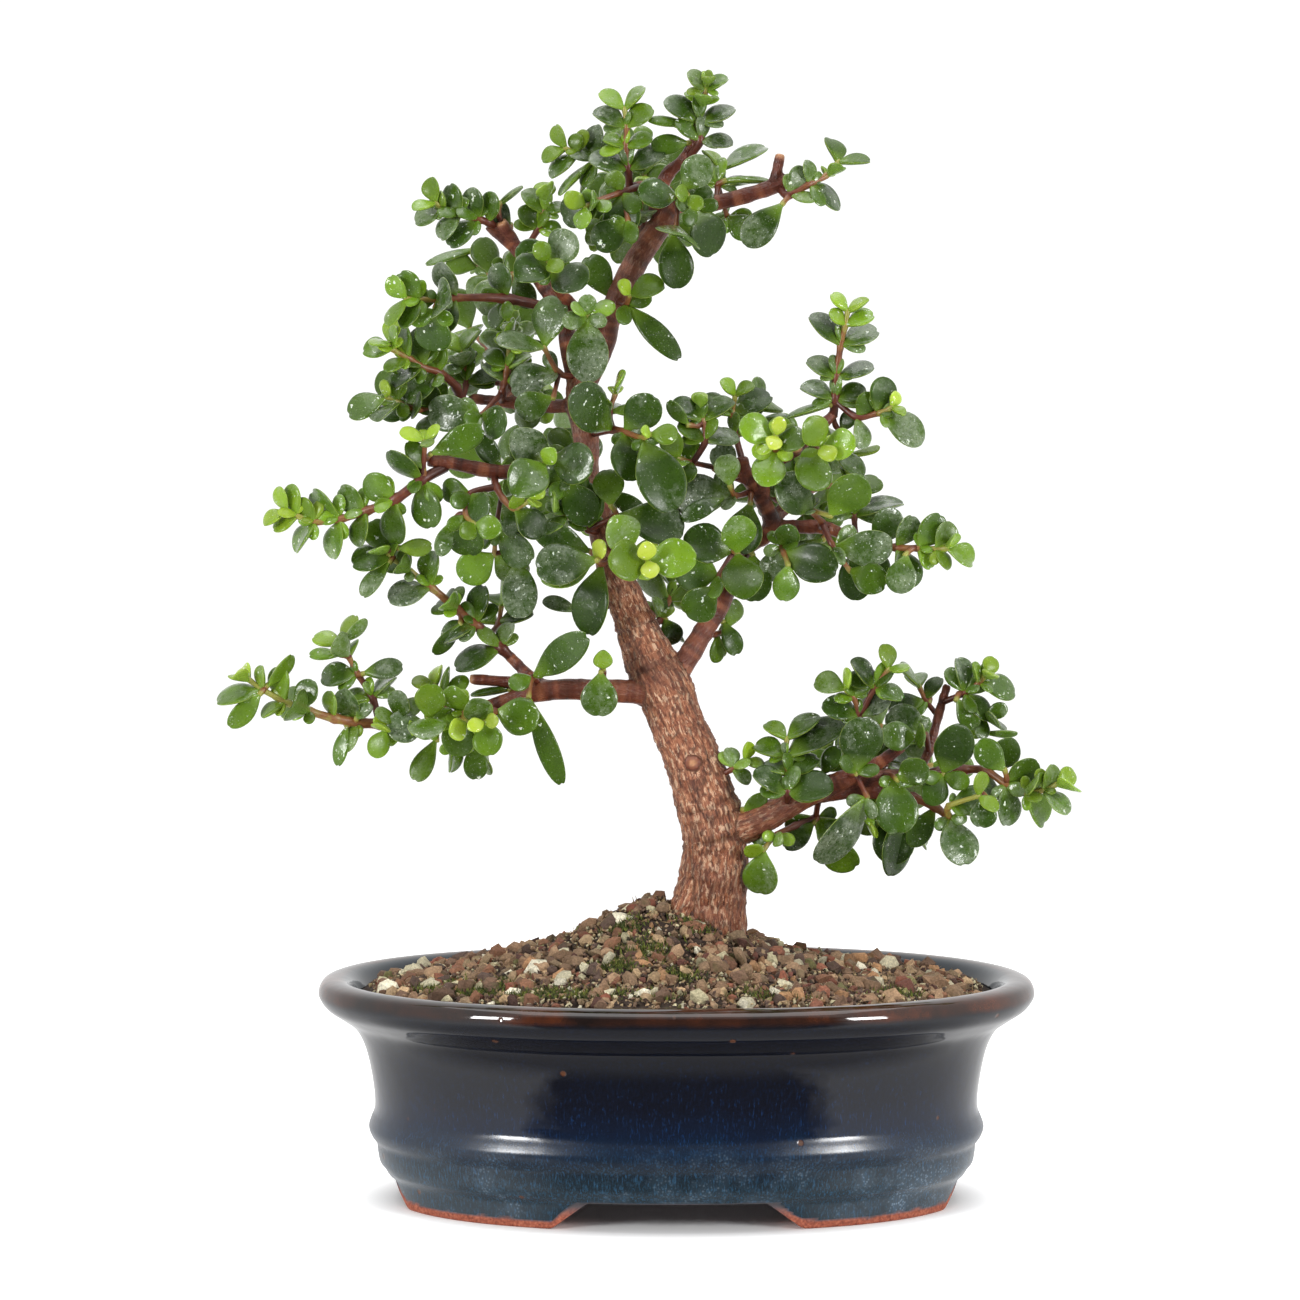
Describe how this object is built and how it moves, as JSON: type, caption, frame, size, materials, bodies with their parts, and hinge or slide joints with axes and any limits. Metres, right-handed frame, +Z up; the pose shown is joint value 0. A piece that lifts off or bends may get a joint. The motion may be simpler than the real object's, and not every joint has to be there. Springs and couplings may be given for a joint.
{
  "type": "dwarf jade bonsai",
  "caption": "Dwarf jade grown as a small upright bonsai, with round succulent leaves on bare curved branches, in an oval glazed stoneware pot.",
  "frame": {"origin": "middle of the tree and pot's box in plan, on the surface that the pot's feet stand on", "axes": "+Z up along the tree, +X along the pot's length, -Y out of the tree's front"},
  "size_m": [0.2354, 0.15, 0.31],
  "materials": {
    "glazed_stoneware": "gloss dark navy glaze, teal where it ran, brown where thin, soles unglazed",
    "bonsai_soil": "loose granules of lava, akadama, pumice and fines",
    "screen_plastic": "matte black",
    "bark": "brown bark with fine fissures, smooth red on young branches",
    "leaf": "living leaf and green stem: waxy and half glossy, with a pale film of dried water"
  },
  "bodies": {
    "root": {"pot": "glazed_stoneware", "soil": "bonsai_soil", "drain_screen_left": "screen_plastic", "drain_screen_right": "screen_plastic", "trunk_and_branches": "bark", "spray_crown_tip": "leaf", "spray_crown_left": "leaf", "spray_crown_low_left": "leaf", "spray_crown_front": "leaf", "spray_crown_right": "leaf", "spray_right_end": "leaf", "spray_left_tip": "leaf", "spray_left_fork_twig": "leaf", "spray_front_rosette": "leaf", "spray_left_shade": "leaf", "spray_left_round": "leaf", "spray_left_wings": "leaf", "spray_left_upright": "leaf", "spray_fork_leaves": "leaf", "spray_leader_cover": "leaf", "spray_leader_right": "leaf", "spray_centre_front": "leaf", "spray_mid_left_front": "leaf", "spray_mid_left_low": "leaf", "spray_mid_left_wing": "leaf", "spray_bright_cross": "leaf", "spray_smooth_branch": "leaf", "spray_diagonal_wing": "leaf", "spray_low_left_wing": "leaf", "spray_low_left_front": "leaf", "spray_round_leaf": "leaf", "spray_long_leaves": "leaf", "spray_inner_left": "leaf", "spray_right_crown": "leaf", "spray_right_dark": "leaf", "spray_right_front": "leaf", "spray_right_behind": "leaf", "spray_right_low": "leaf", "spray_under_arm": "leaf", "spray_arm_front": "leaf", "spray_arm_end": "leaf", "spray_bright_inner": "leaf", "spray_bright_outer": "leaf", "spray_tall_twig": "leaf", "spray_trunk_sprout": "leaf", "spray_low_right_inner": "leaf", "spray_low_right_up": "leaf", "spray_low_right_twig": "leaf", "spray_low_right_peak": "leaf", "spray_low_right_middle": "leaf", "spray_low_right_front": "leaf", "spray_low_right_round": "leaf", "spray_low_right_under": "leaf", "spray_low_right_hanging": "leaf", "spray_low_right_end": "leaf", "spray_back_top": "leaf", "spray_back_left": "leaf", "spray_back_middle": "leaf", "spray_back_right": "leaf", "spray_back_low_right": "leaf"}
  },
  "joints": []
}
